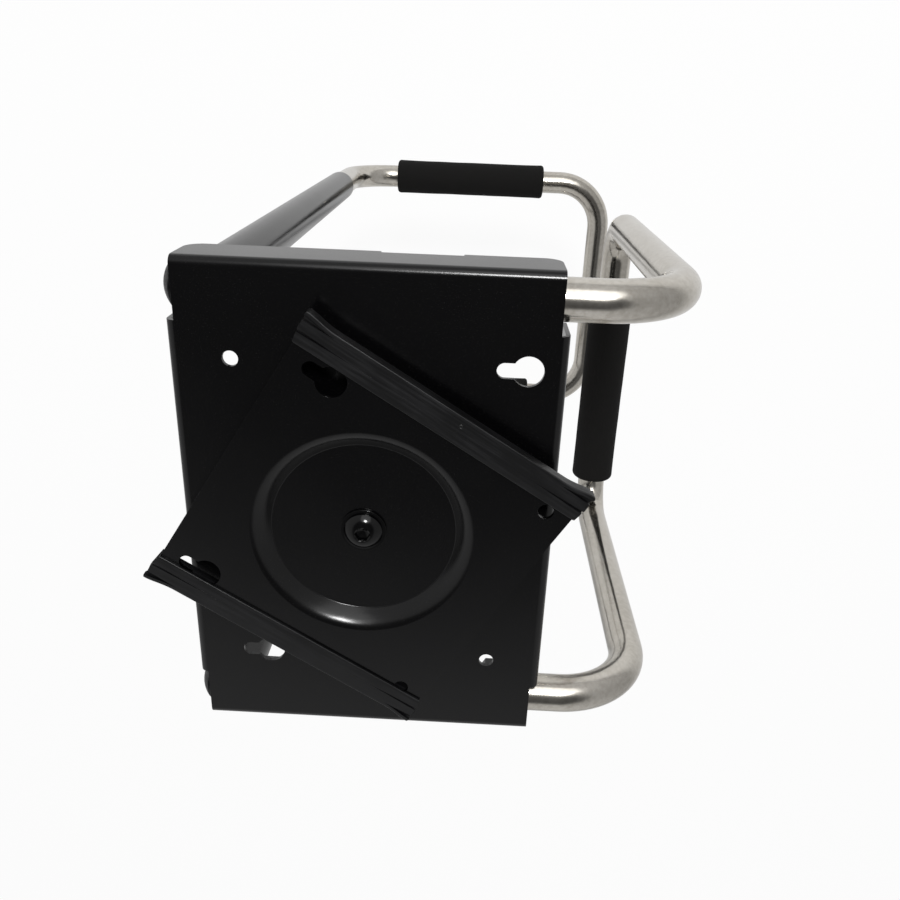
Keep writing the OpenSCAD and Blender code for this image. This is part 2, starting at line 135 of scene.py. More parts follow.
def placeThrough(tree, point):  # the place on the surface behind an image point, and its normal
    p = raySearch
    start, way = rayThrough(*point)
    hit, normal, _, _ = tree.ray_cast(start, way)
    if hit is None:
        tries = [tree.find_nearest(start + way * (p["start"] + p["step"] * k)) for k in range(p["count"])]
        nearest = min(
            (t for t in tries if t[0] is not None),
            key=lambda t: (t[0] - start).cross(way).length,
        )
        hit, normal = nearest[0], nearest[1]
    return hit, normal


print("camera set")


class Socket:  # one output of a node; arithmetic on it adds Math nodes
    def __init__(self, paint, made, out):
        self.paint, self.made, self.out = paint, made, out

    def other(self, name):
        return Socket(self.paint, self.made, self.made.outputs[name])

    def maths(self, operation, first, second=0.0):
        return self.paint.node("ShaderNodeMath", {"operation": operation}, {0: first, 1: second})

    def __add__(self, value):
        return self.maths("ADD", self, value)

    def __mul__(self, value):
        return self.maths("MULTIPLY", self, value)

    __radd__ = __add__
    __rmul__ = __mul__

    def atLeast(self, value):
        return self.maths("MAXIMUM", self, value)


class Paint:  # one node tree
    def __init__(self, tree):
        self.tree = tree
        tree.nodes.clear()

    def node(self, kind, settings=None, sockets=None, out=0):
        made = self.tree.nodes.new(kind)
        for key, value in (settings or {}).items():
            if key == "stops":
                ramp = made.color_ramp
                while len(ramp.elements) < len(value):
                    ramp.elements.new(0.5)
                for stop, (place, level) in zip(ramp.elements, value):
                    stop.position = place
                    stop.color = (level, level, level, 1)
            else:
                setattr(made, key, value)
        for key, value in (sockets or {}).items():
            if isinstance(value, Socket):
                self.tree.links.new(value.out, made.inputs[key])
            else:
                made.inputs[key].default_value = value
        return Socket(self, made, made.outputs[out] if made.outputs else None)

    def place(self, turn=0.0, stretch=(1, 1, 1)):  # object places in metres
        where = self.node("ShaderNodeTexCoord").other("Object")
        if turn == 0.0 and stretch == (1, 1, 1):
            return where
        return self.node(
            "ShaderNodeMapping",
            {"vector_type": "TEXTURE"},
            {
                "Vector": where,
                "Rotation": (0, 0, math.radians(turn)),
                "Scale": tuple(1 / s for s in stretch),
            },
        )

    def noise(self, where, scale, detail=2.0, rough=0.5):
        return self.node(
            "ShaderNodeTexNoise",
            {"noise_dimensions": "3D"},
            {"Vector": where, "Scale": scale, "Detail": detail, "Roughness": rough},
        )

    def ramp(self, value, *stops):
        return self.node("ShaderNodeValToRGB", {"stops": stops}, {"Fac": value})

    def mixed(self, share, first, second):
        return self.node(
            "ShaderNodeMix", {"data_type": "RGBA"}, {0: share, 6: first, 7: second}, out=2
        )

    def bump(self, height, strength, depth, onto=None):
        sockets = {"Height": height, "Strength": strength, "Distance": depth}
        if onto is not None:
            sockets["Normal"] = onto
        return self.node("ShaderNodeBump", None, sockets)


def colour(r, g, b):
    return (r, g, b, 1)


def newFinish(name):
    material = bpy.data.materials.new(name)
    material.use_nodes = True
    return material, Paint(material.node_tree)


def closeFinish(paint, **sockets):
    named = {key.replace("_", " "): value for key, value in sockets.items()}
    shader = paint.node("ShaderNodeBsdfPrincipled", None, named)
    paint.node("ShaderNodeOutputMaterial", None, {"Surface": shader})


powderCoat = {
    "dark": colour(0.0006, 0.0006, 0.0008),
    "light": colour(0.0012, 0.0011, 0.0013),
    "patchScale": 22,
    "rough": (0.18, 0.25),
    "specular": 0.36,
    "peelScale": 900.0,
    "peelStrength": 0.35,
    "peelDepth": 0.00003,
    "dust": colour(0.03, 0.029, 0.028),
    "dustScale": 2600,
    "dustStops": ((0.74, 0.0), (0.80, 1.0)),
    "dustShare": 0.35,
}


def makePowderCoat():
    p = powderCoat
    material, paint = newFinish("satinPowderCoat")
    where = paint.place()
    broad = paint.noise(where, p["patchScale"], detail=3)
    peel = paint.noise(where, p["peelScale"], detail=1)
    specks = paint.ramp(paint.noise(where, p["dustScale"], detail=0), *p["dustStops"])
    base = paint.mixed(broad, p["dark"], p["light"])
    base = paint.mixed(specks * p["dustShare"], base, p["dust"])
    low, high = p["rough"]
    closeFinish(
        paint,
        Base_Color=base,
        Roughness=broad * (high - low) + low,
        Specular_IOR_Level=p["specular"],
        Normal=paint.bump(peel, p["peelStrength"], p["peelDepth"]),
    )
    return material


satinChrome = {
    "light": colour(0.60, 0.572, 0.522),
    "dark": colour(0.48, 0.45, 0.40),
    "patchScale": 30,
    "rough": (0.14, 0.25),
    "mottleScale": 420,
    "fineShare": 0.5,  # of the fine mottling against the broad
    "mottleStops": ((0.38, 0.0), (0.60, 1.0)),
    "waveScale": 55,
    "waveStrength": 0.5,
    "waveDepth": 0.00035,
    "grainScale": 3200,
    "grainStrength": 0.16,
    "grainDepth": 0.00003,
}


def makeSatinChrome():
    p = satinChrome
    material, paint = newFinish("satinChrome")
    where = paint.place()
    broad = paint.noise(where, p["patchScale"], detail=4, rough=0.6)
    waves = paint.noise(where, p["waveScale"], detail=1)
    grain = paint.noise(where, p["grainScale"], detail=2)
    fine = paint.noise(where, p["mottleScale"], detail=3, rough=0.6)
    both = fine * p["fineShare"] + broad * (1 - p["fineShare"])
    mottle = paint.ramp(both, *p["mottleStops"])
    low, high = p["rough"]
    bent = paint.bump(waves, p["waveStrength"], p["waveDepth"])
    closeFinish(
        paint,
        Base_Color=paint.mixed(mottle, p["dark"], p["light"]),
        Metallic=1.0,
        Roughness=broad * (high - low) + low,
        Normal=paint.bump(grain, p["grainStrength"], p["grainDepth"], bent),
    )
    return material


mouldedPlastic = {
    "dark": colour(0.0010, 0.0010, 0.0013),
    "light": colour(0.0036, 0.0036, 0.0044),
    "rough": (0.38, 0.54),
    "specular": 0.4,
    "lengthwise": -32.0,  # degrees, the way the glides run
    "scuffStretch": (0.04, 1.0, 1.0),
    "scuffScale": 900,
    "scuffLevels": (0.6, 0.8),  # everywhere, and added by the patches
    "scuffStops": ((0.42, 0.0), (0.72, 1.0)),
    "scuffStrength": 0.25,
    "scuffDepth": 0.00005,
    "patchScale": 60,
}


def makeMouldedPlastic():
    p = mouldedPlastic
    material, paint = newFinish("mouldedPlastic")
    along = paint.place(p["lengthwise"], p["scuffStretch"])
    plain = paint.place()
    scuffs = paint.noise(along, p["scuffScale"], detail=3, rough=0.65)
    patches = paint.noise(plain, p["patchScale"], detail=2)
    everywhere, added = p["scuffLevels"]
    worn = paint.ramp(scuffs * (everywhere + added * patches), *p["scuffStops"])
    low, high = p["rough"]
    closeFinish(
        paint,
        Base_Color=paint.mixed(worn, p["dark"], p["light"]),
        Roughness=worn * (high - low) + low,
        Specular_IOR_Level=p["specular"],
        Normal=paint.bump(scuffs, p["scuffStrength"], p["scuffDepth"]),
    )
    return material


closedCellFoam = {
    "dark": colour(0.0022, 0.0021, 0.0020),
    "light": colour(0.0072, 0.0067, 0.0063),
    "rough": (0.86, 0.96),
    "specular": 0.2,
    "poreScale": 1300.0,
    "fuzzScale": 2400,
    "patchScale": 90,
    "patchShare": 0.6,  # of the patches against the fuzz, in the colour
    "poreHeight": 0.7,
    "fuzzHeight": 0.6,
    "skinStrength": 0.6,
    "skinDepth": 0.00022,
}


def makeFoam():
    p = closedCellFoam
    material, paint = newFinish("closedCellFoam")
    where = paint.place()
    pores = paint.node(
        "ShaderNodeTexVoronoi",
        {"feature": "F1"},
        {"Vector": where, "Scale": p["poreScale"], "Randomness": 1.0},
    )
    fuzz = paint.noise(where, p["fuzzScale"], detail=3, rough=0.7)
    patches = paint.noise(where, p["patchScale"], detail=3)
    height = pores * p["poreHeight"] + fuzz * p["fuzzHeight"]
    shade = patches * p["patchShare"] + fuzz * (1 - p["patchShare"])
    low, high = p["rough"]
    closeFinish(
        paint,
        Base_Color=paint.mixed(shade, p["dark"], p["light"]),
        Roughness=patches * (high - low) + low,
        Specular_IOR_Level=p["specular"],
        Normal=paint.bump(height, p["skinStrength"], p["skinDepth"]),
    )
    return material


blackenedSteel = {
    "dark": colour(0.0005, 0.0005, 0.0006),
    "light": colour(0.0018, 0.0018, 0.0020),
    "rough": (0.10, 0.17),
    "specular": 0.3,
    "markScale": 700,
    "markStrength": 0.15,
    "markDepth": 0.00003,
}


def makeBlackenedSteel():
    p = blackenedSteel
    material, paint = newFinish("blackenedSteel")
    where = paint.place()
    marks = paint.noise(where, p["markScale"], detail=4, rough=0.6)
    low, high = p["rough"]
    closeFinish(
        paint,
        Base_Color=paint.mixed(marks, p["dark"], p["light"]),
        Roughness=marks * (high - low) + low,
        Specular_IOR_Level=p["specular"],
        Normal=paint.bump(marks, p["markStrength"], p["markDepth"]),
    )
    return material


zincPlate = {
    "light": colour(0.62, 0.62, 0.60),
    "dark": colour(0.46, 0.46, 0.46),
    "rough": (0.26, 0.44),
    "spangleScale": 450,
    "spangleStrength": 0.2,
    "spangleDepth": 0.00003,
}


def makeZincPlate():
    p = zincPlate
    material, paint = newFinish("zincPlate")
    where = paint.place()
    spangle = paint.noise(where, p["spangleScale"], detail=3)
    low, high = p["rough"]
    closeFinish(
        paint,
        Base_Color=paint.mixed(spangle, p["dark"], p["light"]),
        Metallic=1.0,
        Roughness=spangle * (high - low) + low,
        Normal=paint.bump(spangle, p["spangleStrength"], p["spangleDepth"]),
    )
    return material


naturalNylon = {
    "light": colour(0.80, 0.78, 0.71),
    "dark": colour(0.70, 0.67, 0.59),
    "rough": (0.38, 0.54),
    "cloudScale": 120,
    "grainScale": 1500,
    "grainStrength": 0.2,
    "grainDepth": 0.00003,
}


def makeNylon():
    p = naturalNylon
    material, paint = newFinish("naturalNylon")
    where = paint.place()
    cloud = paint.noise(where, p["cloudScale"], detail=3)
    grain = paint.noise(where, p["grainScale"], detail=2)
    low, high = p["rough"]
    closeFinish(
        paint,
        Base_Color=paint.mixed(cloud, p["dark"], p["light"]),
        Roughness=cloud * (high - low) + low,
        Normal=paint.bump(grain, p["grainStrength"], p["grainDepth"]),
    )
    return material


finishes = {
    "black_powder_coat": makePowderCoat(),
    "satin_chrome": makeSatinChrome(),
    "black_plastic": makeMouldedPlastic(),
    "black_steel": makeBlackenedSteel(),
    "zinc_steel": makeZincPlate(),
    "white_nylon": makeNylon(),
    "black_foam": makeFoam(),
}
print("finishes made:", len(finishes))


softEdges = {  # width in metres of the rounding along each node's sharp edges
    "swivel_plate": 0.0006,
    "tray": 0.00045,
    "rear_arm": 0.0003,
    "front_arm": 0.0003,
    "rear_leg": 0.0003,
    "front_leg": 0.0003,
    "head_washer": 0.0002,
    "lock_nut": 0.0004,
    "steel_washer": 0.0002,
    "turntable_disc": 0.0004,
    "nylon_washer": 0.0003,
    "arm_weld_nuts": 0.0004,
    "leg_weld_nuts": 0.0004,
    "arm_set_screws": 0.0003,
    "leg_set_screws": 0.0003,
    "side_loop": 0.0002,
    "cradle": 0.0002,
}


edgeRounding = {
    "leastAngle": 38,  # degrees between faces, the least that is rounded
    "plateLeastAngle": 22,  # lower on the swivel plate, for its shallower edges
    "weld": 0.000002,
    "segments": 2,
    "evenWeight": 60,
}


def roundEdges(thing, width, leastAngle):
    p = edgeRounding
    weld = thing.modifiers.new("weld", "WELD")
    weld.merge_threshold = p["weld"]
    bevel = thing.modifiers.new("softEdges", "BEVEL")
    bevel.width = width
    bevel.segments = p["segments"]
    bevel.limit_method = "ANGLE"
    bevel.angle_limit = math.radians(leastAngle)
    bevel.use_clamp_overlap = True
    even = thing.modifiers.new("evenShading", "WEIGHTED_NORMAL")
    even.weight = p["evenWeight"]


def dressNodes():
    slotOf = {part["node"]: part["material_slot"] for part in frame["record"]["subparts"]}
    for name, thing in nodes.items():
        for place in thing.material_slots:
            place.material = finishes[slotOf[name]]
        if name in softEdges:
            least = "plateLeastAngle" if name == "swivel_plate" else "leastAngle"
            roundEdges(thing, softEdges[name], edgeRounding[least])


dressNodes()
print("CAD nodes dressed")


def newPiece(name, mesh, body, slotName, sharpAngle=38):
    mesh.validate()
    mesh.shade_smooth()
    mesh.set_sharp_from_angle(angle=math.radians(sharpAngle))
    piece = bpy.data.objects.new(name, mesh)
    piece.data.materials.append(finishes[slotName])
    bpy.context.scene.collection.objects.link(piece)
    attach(piece, body)
    return piece


def sweptMesh(name, rings, closeEnds=True):  # rings of equal length, joined in order
    mesh = bpy.data.meshes.new(name)
    count = len(rings[0])
    corners = [tuple(point) for ring in rings for point in ring]
    faces = []
    for r in range(len(rings) - 1):
        this, following = r * count, (r + 1) * count
        for k in range(count):
            after = (k + 1) % count
            faces.append((this + k, this + after, following + after, following + k))
    if closeEnds:
        faces.append(tuple(reversed(range(count))))
        faces.append(tuple((len(rings) - 1) * count + k for k in range(count)))
    mesh.from_pydata(corners, [], faces)
    working = bmesh.new()
    working.from_mesh(mesh)
    bmesh.ops.recalc_face_normals(working, faces=working.faces)
    working.to_mesh(mesh)
    working.free()
    return mesh


def easeIn(value):
    value = min(max(value, 0.0), 1.0)
    return value * value * (3 - 2 * value)


foamGrip = {
    "around": 88,
    "along": 84,
    "endRound": 0.0028,
    "endRoundSteps": 8,
    "unevenness": 0.00022,
    "waveAround": 0.9,
    "waveAlong": 45,  # noise units per metre
    "waveShift": 7.3,  # between one grip and the next
    "lipAtEnd": 0.00035,  # the cut ends stand a little proud
    "lipFade": 0.006,
    "tubeRadius": 0.0096,
    "turnIn": 0.004,  # how far the mouth is modelled into the bore
    "mouthInset": 0.0006,
    "mouthRings": 3,
}


def gripProfile(half, radius):  # distance along and radius, from end to end
    p = foamGrip
    endRound, steps, mouthRings = p["endRound"], p["endRoundSteps"], p["mouthRings"]
    profile = []
    for k in range(mouthRings):
        inward = p["turnIn"] * (1 - k / (mouthRings - 1))
        profile.append((-half + inward + p["mouthInset"], p["tubeRadius"]))
    for k in range(steps + 1):
        angle = math.pi / 2 * (1 - k / steps)
        profile.append((-half + endRound * (1 - math.sin(angle)), radius - endRound * (1 - math.cos(angle))))
    nearEnd = list(profile)
    for k in range(1, p["along"]):
        share = k / p["along"]
        profile.append((-half + endRound + share * 2 * (half - endRound), radius))
    return profile + [(-along, r) for along, r in reversed(nearEnd)]


def makeFoamGrip(name, nodeName, axis, body, seed):
    p = foamGrip
    low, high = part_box(nodeName)
    middle = (low + high) / 2
    half = (high - low)[axis] / 2
    side = [k for k in range(3) if k != axis]
    radius = min((high - low)[k] for k in side) / 2
    rings = []
    for along, r in gripProfile(half, radius):
        ring = []
        outer = easeIn((r - p["tubeRadius"]) / (radius - p["tubeRadius"]))
        lip = p["lipAtEnd"] * math.exp(-(half - abs(along)) / p["lipFade"])
        for k in range(p["around"]):
            angle = 2 * math.pi * k / p["around"]
            sample = Vector((
                math.cos(angle) * p["waveAround"],
                math.sin(angle) * p["waveAround"],
                along * p["waveAlong"] + seed * p["waveShift"],
            ))
            wave = noise.noise(sample) * p["unevenness"] - p["unevenness"]
            here = r + outer * (wave + lip)
            point = [0.0, 0.0, 0.0]
            point[axis] = middle[axis] + along
            point[side[0]] = middle[side[0]] + here * math.cos(angle)
            point[side[1]] = middle[side[1]] + here * math.sin(angle)
            ring.append(point)
        rings.append(ring)
    grip = newPiece(name, sweptMesh(name, rings, closeEnds=False), body, "black_foam", sharpAngle=60)
    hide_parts(nodeName)
    return grip


rearGrip = makeFoamGrip("rearFoamGrip", "rear_cradle_grip", 0, "cradle", 1)
frontGrip = makeFoamGrip("frontFoamGrip", "front_cradle_grip", 0, "cradle", 2)
loopGrip = makeFoamGrip("loopFoamGrip", "loop_grip", 1, "loop", 3)
print("foam grips made")


glide = {
    "turn": -32.0,  # degrees, with the swivel plate
    "middle": (0.0004, 0.0),
    "length": 0.145,
    "width": 0.0127,
    "height": 0.007,
    "rise": 0.0014,
    "plateWidth": 0.136,
    "hold": 0.007,  # how far the plate's edge sits in the groove
    "sheet": 0.002,
    "fit": 0.0001,
    "edgeRound": 0.0005,
    "edgeSteps": 6,
    "underCut": 0.0005,
    "slotAt": (0.0054, 0.0108),  # inner and outer slot, from the inner edge
    "slotReach": (0.027, 0.016),  # from each end
    "slotHalf": (0.0006, 0.0006),
    "slotDepth": (0.0011, 0.0018),
    "slotLeast": 0.004,  # the least share, beyond a slot's reach
    "slotTaper": 0.8,
    "slotDeepening": 1.6,
    "slotStations": (-1, -0.86, -0.55, -0.2, 0.2, 0.55, 0.86, 1),
    "slotHollow": 0.6,
    "slotMargin": 0.0004,
    "bandDrop": 0.00006,  # the outer band lies lower
    "flare": 0.0017,
    "flareCurve": 1.2,
    "flareAtSlot": 0.75,  # share of the flare at the outer slot
    "endSteps": (0.0004, 0.0002, 0.0),  # how far the three ribs stop short of the end
    "endFade": 0.009,
    "cornerCut": (0.0010, 0.0011),  # across and along, off each end's inner corner
    "ribRound": 0.0011,
    "endReach": 0.026,  # the part of each end with close stations
    "endStations": 30,
    "endCrowding": 1.15,
    "middleStations": (-0.03, -0.015, 0.0, 0.015, 0.03),
}


def onPlate(along, across, level):  # the plate's own directions, turned with it
    angle = math.radians(glide["turn"])
    x, y = along + glide["middle"][0], across + glide["middle"][1]
    return Vector((
        x * math.cos(angle) - y * math.sin(angle),
        x * math.sin(angle) + y * math.cos(angle),
        level,
    ))


def slotOutline(k, fromEnd, flare):  # across and height, over one slot and past its outer edge
    p = glide
    top = p["rise"]
    share = min(max(1 - fromEnd / p["slotReach"][k], p["slotLeast"]), 1.0)
    centre = p["slotAt"][k]
    wide = p["slotHalf"][k] * share ** p["slotTaper"]
    deep = p["slotDepth"][k] * min(1.0, share * p["slotDeepening"])
    outerDrop = p["bandDrop"] if k == 1 else 0.0
    outerShift = flare * p["flareAtSlot"] if k == 1 else 0.0
    points = []
    for q in p["slotStations"]:
        drop, shift = (outerDrop, outerShift) if q > 0 else (0.0, 0.0)
        level = top - deep * (1 - q * q) ** p["slotHollow"] - drop
        points.append((centre + wide * q + shift, level))
    points.append((centre + wide + p["slotMargin"] + outerShift, top - outerDrop))
    return points


def glideOutline(fromEnd, flare):  # across from the inner edge and height, once round
    p = glide
    width, top, edgeRound, steps = p["width"], p["rise"], p["edgeRound"], p["edgeSteps"]
    points = []
    for k in range(steps + 1):
        angle = math.pi / 2 * k / steps
        points.append((edgeRound * (1 - math.cos(angle)), top - edgeRound * (1 - math.sin(angle))))
    points += slotOutline(0, fromEnd, flare) + slotOutline(1, fromEnd, flare)
    for k in range(steps + 1):
        angle = math.pi / 2 * (1 - k / steps)
        points.append((
            width + flare - edgeRound * (1 - math.cos(angle)),
            top - p["bandDrop"] - edgeRound * (1 - math.sin(angle)),
        ))
    low = top - p["height"]
    under = -p["sheet"] - p["fit"]
    deepEnd = p["hold"] + p["fit"]
    return points + [
        (width + flare, low + p["underCut"]),
        (width + flare - p["underCut"], low),
        (p["underCut"], low),
        (0.0, low + p["underCut"]),
        (0.0, under),
        (deepEnd, under),
        (deepEnd, p["fit"]),
        (0.0, p["fit"]),
    ]


def glideRing(s, side):
    p = glide
    fromEnd = p["length"] / 2 - abs(s)
    flare = p["flare"] * easeIn(1 - fromEnd / p["slotReach"][1]) ** p["flareCurve"]
    ribEdges = [0.0, *p["slotAt"], p["width"]]
    cutWide, cutLong = p["cornerCut"]
    ring = []
    for across, level in glideOutline(fromEnd, flare):
        rib = 0 if across < ribEdges[1] else 1 if across < ribEdges[2] else 2
        left, right = ribEdges[rib], ribEdges[rib + 1] + (flare if rib == 2 else 0.0)
        offCentre = abs((across - (left + right) / 2) / ((right - left) / 2))
        cut = cutLong * max(0.0, 1 - max(across, 0.0) / cutWide)
        rounded = p["ribRound"] * (1 - math.sqrt(max(0.0, 1 - min(offCentre, 1.0) ** 2)))
        short = cut + p["endSteps"][rib] + rounded
        pull = short * easeIn(1 - fromEnd / p["endFade"])
        place = s - math.copysign(pull, s)
        ring.append(onPlate(place, side * (p["plateWidth"] / 2 - p["hold"] + across), level))
    return ring


def makeGlide(name, nodeName, side):
    p = glide
    half = p["length"] / 2
    count = p["endStations"]
    places = [half - p["endReach"] * (k / count) ** p["endCrowding"] for k in range(count + 1)]
    stations = [-v for v in places] + list(p["middleStations"]) + list(reversed(places))
    rings = [glideRing(s, side) for s in stations]
    piece = newPiece(name, sweptMesh(name, rings), "desk_plate", "black_plastic", sharpAngle=32)
    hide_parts(nodeName)
    return piece


rearGlide = makeGlide("rearGlide", "rear_glide", 1)
frontGlide = makeGlide("frontGlide", "front_glide", -1)
print("glides made")


# welds between the arms and the tray, and round the tops of the legs
weldBead = {
    "length": 0.026,
    "pitch": 0.100,
    "tray": (0.0010, 0.0008),  # the tray's middle, x and y
    "armAxis": 0.1038,  # from the tray's middle line
    "armHeight": -0.02665,
    "armRadius": 0.0111,
    "offside": 0.0060,
    "radius": 0.0021,
    "lift": 0.0004,
    "ripple": 0.0015,  # length of one ripple
    "rippleDepth": 0.14,  # share of the radius
    "wobble": 0.0002,
    "wobbleScale": (300, 90),
    "wobbleSeed": 3.0,
    "stations": 70,
    "around": 14,
    "leastEnd": 0.02,
    "endPower": 6,
}

legWeld = {
    "axis": -0.07065,  # along x from the tray's middle
    "radius": 0.0013,
    "halfSweep": 62,  # degrees
    "lift": 0.0002,
    "ripples": 26,
    "rippleDepth": 0.18,
    "stations": 110,
    "leastEnd": 0.03,
    "endPower": 8,
}


def beadMesh(name, track, radii):  # a rippled bead along a track of places
    around = weldBead["around"]
    rings = []
    for k, (place, radius) in enumerate(zip(track, radii)):
        ahead = track[min(k + 1, len(track) - 1)] - track[max(k - 1, 0)]
        ahead.normalize()
        sideways = ahead.cross(Vector((0, 0, 1)))
        if sideways.length < 0.1:  # the track runs nearly straight up or down
            sideways = ahead.cross(Vector((0, 1, 0)))
        sideways.normalize()
        upward = sideways.cross(ahead)
        rings.append([
            place + (sideways * math.cos(a) + upward * math.sin(a)) * radius
            for a in (2 * math.pi * q / around for q in range(around))
        ])
    return sweptMesh(name, rings)


def beadRadius(p, share, phase):  # thin at both ends, and rippled
    ends = math.sqrt(max(p["leastEnd"], 1 - abs(2 * share - 1) ** p["endPower"]))
    depth = p["rippleDepth"]
    return p["radius"] * ends * (1 - depth + depth * math.sin(math.pi * phase))


def weldPiece(name, beads):
    joined = bmesh.new()
    for track, radii in beads:
        joined.from_mesh(beadMesh("oneBead", track, radii))
    mesh = bpy.data.meshes.new(name)
    joined.to_mesh(mesh)
    joined.free()
    return newPiece(name, mesh, "frame", "black_powder_coat", sharpAngle=60)


def armBead(side, hand, end):
    p = weldBead
    middle = p["tray"][0] + end * p["pitch"] / 2
    y = p["tray"][1] + side * p["armAxis"] + hand * p["offside"]
    z = p["armHeight"] + math.sqrt(p["armRadius"] ** 2 - p["offside"] ** 2)
    alongScale, acrossScale = p["wobbleScale"]
    track, radii = [], []
    for q in range(p["stations"]):
        share = q / (p["stations"] - 1)
        x = middle + (share - 0.5) * p["length"]
        sample = Vector((x * alongScale, y * acrossScale, p["wobbleSeed"]))
        track.append(Vector((x, y + noise.noise(sample) * p["wobble"], z + p["lift"])))
        radii.append(beadRadius(p, share, (x % p["ripple"]) / p["ripple"]))
    return track, radii


def legBead(side, start):
    p, leg = weldBead, legWeld
    middle = Vector((p["tray"][0] + leg["axis"], p["tray"][1] + side * p["armAxis"], 0))
    radius = p["armRadius"]
    track, radii = [], []
    for k in range(leg["stations"]):
        share = k / (leg["stations"] - 1)
        angle = start + math.radians(-leg["halfSweep"] + 2 * leg["halfSweep"] * share)
        y = radius * math.sin(angle)
        depth = math.sqrt(max(0.0, radius ** 2 - y ** 2))
        place = middle + Vector((radius * math.cos(angle), y, p["armHeight"] - depth))
        track.append(place + Vector((math.cos(angle), math.sin(angle), 0)) * leg["lift"])
        radii.append(beadRadius(leg, share, (share * leg["ripples"]) % 1.0))
    return track, radii


def makeArmWelds():
    ways = [(side, hand, end) for side in (-1, 1) for hand in (-1, 1) for end in (-1, 1)]
    piece = weldPiece("armWelds", [armBead(*way) for way in ways])
    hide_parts("weld_beads")
    return piece


def makeLegWelds():
    ways = [(side, start) for side in (-1, 1) for start in (0, math.pi)]
    piece = weldPiece("legWelds", [legBead(*way) for way in ways])
    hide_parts("leg_welds")
    return piece


armWelds = makeArmWelds()
legWelds = makeLegWelds()
print("welds made")


# the thin raised line round the floor of the plate's dish
dishLine = {
    "radius": 0.0421,
    "floor": -0.0066,
    "rise": 0.00016,
    "halfWidth": 0.00034,
    "around": 192,
    "across": 9,
    "weld": 0.000001,
}


def makeDishLine():
    p = dishLine
    outline = []  # radius and height: a low crown, closed by one point under the dish's floor
    for k in range(p["across"]):
        share = 2 * k / (p["across"] - 1) - 1
        outline.append((p["radius"] + share * p["halfWidth"], p["floor"] + p["rise"] * (1 - share ** 2)))
    outline.append((p["radius"], p["floor"] - p["rise"]))
    rings = []
    for k in range(p["around"] + 1):
        turn = 2 * math.pi * k / p["around"]
        rings.append([(r * math.cos(turn), r * math.sin(turn), z) for r, z in outline])
    mesh = sweptMesh("dishLine", rings, closeEnds=False)
    working = bmesh.new()
    working.from_mesh(mesh)
    bmesh.ops.remove_doubles(working, verts=working.verts, dist=p["weld"])
    bmesh.ops.recalc_face_normals(working, faces=working.faces)
    working.to_mesh(mesh)
    working.free()
    return newPiece("dishLine", mesh, "desk_plate", "black_powder_coat")


crease = makeDishLine()
print("dish line made")


boltHead = {
    "radius": 0.00875,
    "height": 0.0038,
    "rim": 0.0011,
    "rimCut": 0.0003,
    "seat": -0.00535,
    "socketFlats": 0.006,
    "socketDepth": 0.003,
    # rows of radius in half flats, height over the socket's floor, and share of hexagon
    "socketFloor": ((0.02, -0.0009, 0.0), (0.6, -0.0005, 0.0), (0.97, 0.0, 1.0), (1.0, 0.0002, 1.0)),
    # the same, with the height over the head's top
    "socketMouth": ((1.0, -0.0005, 1.0), (1.02, -0.00035, 1.0), (1.2, -0.00003, 0.35), (1.24, 0.0, 0.2)),
    "flat": 0.0036,  # radius of the flat round the socket
    "domeSteps": 14,
    "around": 96,
    "shank": 0.005,
    "tail": -0.03175,
    "tailTaper": 0.0008,
    "tailPoint": 0.0001,
    "thread": 0.0015,
    "threadDepth": 0.0004,
    "threadFrom": -0.0125,
    "threadStop": 0.001,  # how far the last thread stays from the tail
}


def boltProfile():  # radius, height and share of hexagon, from the socket to the tail
    p = boltHead
    top = p["seat"] + p["height"]
    half = p["socketFlats"] / 2
    floor = top - p["socketDepth"]
    profile = [(half * wide, floor + up, hexShare) for wide, up, hexShare in p["socketFloor"]]
    profile += [(half * wide, top + up, hexShare) for wide, up, hexShare in p["socketMouth"]]
    profile.append((p["flat"], top, 0.0))
    for k in range(1, p["domeSteps"] + 1):
        share = k / p["domeSteps"]
        r = p["flat"] + (p["radius"] - p["flat"]) * share
        profile.append((r, p["seat"] + p["rim"] + (p["height"] - p["rim"]) * (1 - share ** 2), 0.0))
    profile.append((p["radius"], p["seat"] + p["rimCut"], 0.0))
    profile.append((p["radius"] - p["rimCut"], p["seat"], 0.0))
    profile.append((p["shank"], p["seat"], 0.0))
    profile.append((p["shank"], p["threadFrom"], 0.0))
    z = p["threadFrom"]
    while z - p["thread"] > p["tail"] + p["threadStop"]:
        profile.append((p["shank"] - p["threadDepth"], z - p["thread"] * 0.5, 0.0))
        profile.append((p["shank"], z - p["thread"], 0.0))
        z -= p["thread"]
    profile.append((p["shank"] - p["tailTaper"], p["tail"], 0.0))
    profile.append((p["tailPoint"], p["tail"], 0.0))
    return profile


def makeBolt():
    around = boltHead["around"]
    rings = []
    for r, z, hexShare in boltProfile():
        ring = []
        for k in range(around):
            angle = 2 * math.pi * k / around
            inHex = (angle % (math.pi / 3)) - math.pi / 6
            hexRadius = r / math.cos(inHex)
            here = r + (hexRadius - r) * hexShare
            ring.append((here * math.cos(angle), here * math.sin(angle), z))
        rings.append(ring)
    mesh = sweptMesh("buttonHeadBolt", rings)
    piece = newPiece("buttonHeadBolt", mesh, "frame", "black_steel", sharpAngle=34)
    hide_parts("swivel_bolt")
    return piece


bolt = makeBolt()
print("bolt made")


gateMark = {
    "radius": 0.0011,
    "height": 0.00035,
    "around": 28,
    "roughness": 0.12,
    "roughScale": (2, 3),  # round the mark, and from row to row
    # rows of radius and height as shares: a raised rim round a sunk middle
    "rows": ((1.15, -0.2), (1.0, 0.3), (0.86, 0.9), (0.62, 1.0), (0.5, 0.55), (0.2, 0.5), (0.01, 0.5)),
}


